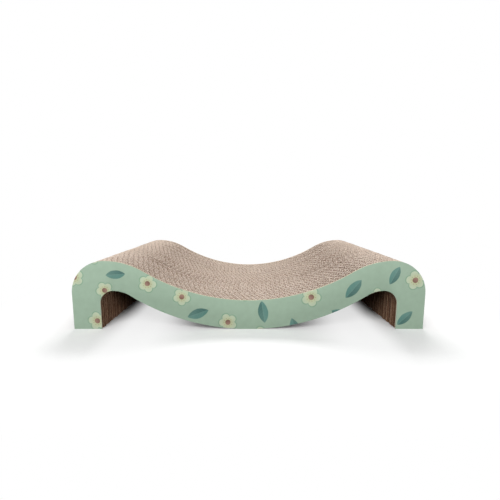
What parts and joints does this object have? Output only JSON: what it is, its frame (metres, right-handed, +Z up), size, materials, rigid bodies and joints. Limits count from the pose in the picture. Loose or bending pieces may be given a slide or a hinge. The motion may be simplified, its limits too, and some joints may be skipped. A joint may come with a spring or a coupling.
{
  "type": "cat scratcher lounger",
  "caption": "Low cradle-shaped cat scratching lounger of die-cut corrugated boards glued side by side between printed side panels, with an open arch behind each leg.",
  "frame": {"origin": "on the floor under the middle of the lounger", "axes": "+X along the length from the left leg to the right leg, +Y from the front printed panel to the rear one, across the stack of boards, +Z up"},
  "size_m": [0.5, 0.25, 0.099],
  "materials": {
    "kraft_board": "matte",
    "printed_board": "matte"
  },
  "bodies": {
    "root": {"core_board_01": "kraft_board", "core_board_02": "kraft_board", "core_board_03": "kraft_board", "core_board_04": "kraft_board", "core_board_05": "kraft_board", "core_board_06": "kraft_board", "core_board_07": "kraft_board", "core_board_08": "kraft_board", "core_board_09": "kraft_board", "core_board_10": "kraft_board", "core_board_11": "kraft_board", "core_board_12": "kraft_board", "core_board_13": "kraft_board", "core_board_14": "kraft_board", "core_board_15": "kraft_board", "core_board_16": "kraft_board", "core_board_17": "kraft_board", "core_board_18": "kraft_board", "core_board_19": "kraft_board", "core_board_20": "kraft_board", "core_board_21": "kraft_board", "core_board_22": "kraft_board", "core_board_23": "kraft_board", "core_board_24": "kraft_board", "core_board_25": "kraft_board", "core_board_26": "kraft_board", "core_board_27": "kraft_board", "core_board_28": "kraft_board", "core_board_29": "kraft_board", "core_board_30": "kraft_board", "core_board_31": "kraft_board", "core_board_32": "kraft_board", "core_board_33": "kraft_board", "core_board_34": "kraft_board", "core_board_35": "kraft_board", "core_board_36": "kraft_board", "core_board_37": "kraft_board", "core_board_38": "kraft_board", "core_board_39": "kraft_board", "core_board_40": "kraft_board", "core_board_41": "kraft_board", "core_board_42": "kraft_board", "core_board_43": "kraft_board", "core_board_44": "kraft_board", "core_board_45": "kraft_board", "core_board_46": "kraft_board", "core_board_47": "kraft_board", "core_board_48": "kraft_board", "core_board_49": "kraft_board", "core_board_50": "kraft_board", "core_board_51": "kraft_board", "core_board_52": "kraft_board", "core_board_53": "kraft_board", "core_board_54": "kraft_board", "core_board_55": "kraft_board", "core_board_56": "kraft_board", "core_board_57": "kraft_board", "core_board_58": "kraft_board", "front_printed_panel": "printed_board", "rear_printed_panel": "printed_board"}
  },
  "joints": []
}
